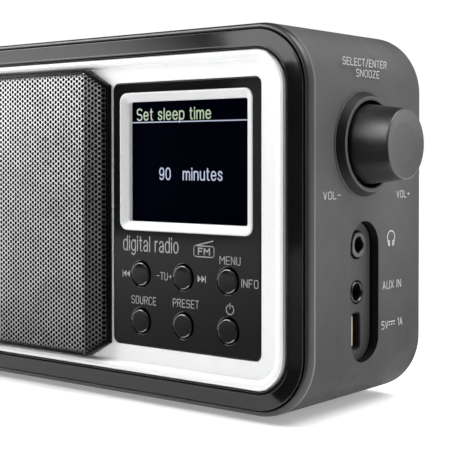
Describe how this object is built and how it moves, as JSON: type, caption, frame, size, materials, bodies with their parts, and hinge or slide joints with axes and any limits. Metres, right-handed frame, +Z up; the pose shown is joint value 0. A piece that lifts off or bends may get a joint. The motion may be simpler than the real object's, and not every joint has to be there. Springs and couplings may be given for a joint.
{
  "type": "tabletop radio",
  "caption": "Small tabletop digital radio with a rounded sleeve cabinet, perforated grille, colour display, push buttons, side knob with audio and power sockets, and a rear telescopic aerial.",
  "frame": {"origin": "centre of the object's footprint, on the surface it stands on", "axes": "+X to the end with the knob, +Y to the back, +Z up; the display and grille face -Y"},
  "size_m": [0.204, 0.0718, 0.1103],
  "materials": {
    "cabinet_grey": "fine matte texture",
    "cover_black": "matte",
    "gloss_black": "high gloss",
    "silver_paint": "satin silver-white paint",
    "frame_silver": "satin silver paint",
    "grille_metal": "perforated satin metal",
    "cloth_black": "acoustic cloth",
    "window_dark": "clear window over the display",
    "module_grey": "display module",
    "flex_amber": "flexible printed ribbon",
    "board_green": "circuit board",
    "switch_black": "moulded",
    "can_steel": "plain steel",
    "copper_plate": "copper-coloured heat plate",
    "magnet_grey": "ferrite",
    "cone_paper": "black pulp",
    "rubber_black": "soft",
    "sleeve_blue": "shrink sleeve",
    "knob_grey": "satin",
    "nickel": "nickel plate",
    "chrome": "bright chrome",
    "usb_steel": "stamped shell"
  },
  "bodies": {
    "radio": {"cabinet_shell": "cabinet_grey", "socket_plate": "cabinet_grey", "knob_collar": "cabinet_grey", "rear_cover": "cover_black", "battery_tray": "cover_black", "aerial_base": "cover_black", "cover_screw_1": "can_steel", "cover_screw_2": "can_steel", "cover_screw_3": "can_steel", "cover_screw_4": "can_steel", "tuner_can": "can_steel", "speaker_basket": "can_steel", "encoder_body": "can_steel", "front_frame": "gloss_black", "control_panel": "gloss_black", "bezel": "silver_paint", "lcd_frame": "frame_silver", "display_window": "window_dark", "lcd_module": "module_grey", "lcd_ribbon": "flex_amber", "button_board": "board_green", "main_board": "board_green", "jack_board": "board_green", "tact_switch_1": "switch_black", "tact_switch_2": "switch_black", "tact_switch_3": "switch_black", "tact_switch_4": "switch_black", "tact_switch_5": "switch_black", "tact_switch_6": "switch_black", "main_chip": "switch_black", "aux_jack": "switch_black", "speaker_grille": "grille_metal", "grille_cloth": "cloth_black", "speaker_magnet": "magnet_grey", "speaker_surround": "rubber_black", "foot_1": "rubber_black", "foot_2": "rubber_black", "foot_3": "rubber_black", "foot_4": "rubber_black", "speaker_cone": "cone_paper", "amplifier_heat_plate": "copper_plate", "battery_pack": "sleeve_blue", "headphone_jack": "nickel", "usb_socket": "usb_steel"},
    "key_1": {"button_1": "gloss_black"},
    "key_2": {"button_2": "gloss_black"},
    "key_3": {"button_3": "gloss_black"},
    "key_4": {"button_4": "gloss_black"},
    "key_5": {"button_5": "gloss_black"},
    "key_6": {"button_6": "gloss_black"},
    "knob_carrier": {"encoder_plunger": "switch_black"},
    "volume_knob": {"knob": "knob_grey", "encoder_shaft": "can_steel"},
    "aerial_foot": {"aerial_swivel": "cover_black"},
    "aerial_rod": {"aerial_section_1": "chrome"},
    "aerial_stage_2": {"aerial_section_2": "chrome"},
    "aerial_stage_3": {"aerial_section_3": "chrome"},
    "aerial_stage_4": {"aerial_tip": "chrome"}
  },
  "joints": [
    {"name": "button_1_press", "type": "slide", "parent": "radio", "child": "key_1", "axis": [0, 1, 0], "range_m": [0, 0.0006], "stiffness_N_per_m": 900, "springref_m": -0.0003},
    {"name": "button_2_press", "type": "slide", "parent": "radio", "child": "key_2", "axis": [0, 1, 0], "range_m": [0, 0.0006], "stiffness_N_per_m": 900, "springref_m": -0.0003},
    {"name": "button_3_press", "type": "slide", "parent": "radio", "child": "key_3", "axis": [0, 1, 0], "range_m": [0, 0.0006], "stiffness_N_per_m": 900, "springref_m": -0.0003},
    {"name": "button_4_press", "type": "slide", "parent": "radio", "child": "key_4", "axis": [0, 1, 0], "range_m": [0, 0.0006], "stiffness_N_per_m": 900, "springref_m": -0.0003},
    {"name": "button_5_press", "type": "slide", "parent": "radio", "child": "key_5", "axis": [0, 1, 0], "range_m": [0, 0.0006], "stiffness_N_per_m": 900, "springref_m": -0.0003},
    {"name": "button_6_press", "type": "slide", "parent": "radio", "child": "key_6", "axis": [0, 1, 0], "range_m": [0, 0.0006], "stiffness_N_per_m": 900, "springref_m": -0.0003},
    {"name": "knob_push", "type": "slide", "parent": "radio", "child": "knob_carrier", "axis": [-1, 0, 0], "range_m": [0, 0.0008], "stiffness_N_per_m": 1200, "springref_m": -0.0006},
    {"name": "knob_turn", "type": "hinge", "parent": "knob_carrier", "child": "volume_knob", "pos_m": [0.088, -0.005, 0.0769], "axis": [1, 0, 0], "continuous": true},
    {"name": "aerial_turn", "type": "hinge", "parent": "radio", "child": "aerial_foot", "pos_m": [0.072, 0.0332, 0.097], "axis": [0, 1, 0], "range_deg": [0, 180]},
    {"name": "aerial_tilt", "type": "hinge", "parent": "aerial_foot", "child": "aerial_rod", "pos_m": [0.072, 0.0332, 0.097], "axis": [0, 0, -1], "range_deg": [0, 90]},
    {"name": "aerial_pull_1", "type": "slide", "parent": "aerial_rod", "child": "aerial_stage_2", "axis": [-1, 0, 0], "range_m": [0, 0.1]},
    {"name": "aerial_pull_2", "type": "slide", "parent": "aerial_stage_2", "child": "aerial_stage_3", "axis": [-1, 0, 0], "range_m": [0, 0.1]},
    {"name": "aerial_pull_3", "type": "slide", "parent": "aerial_stage_3", "child": "aerial_stage_4", "axis": [-1, 0, 0], "range_m": [0, 0.1]}
  ]
}
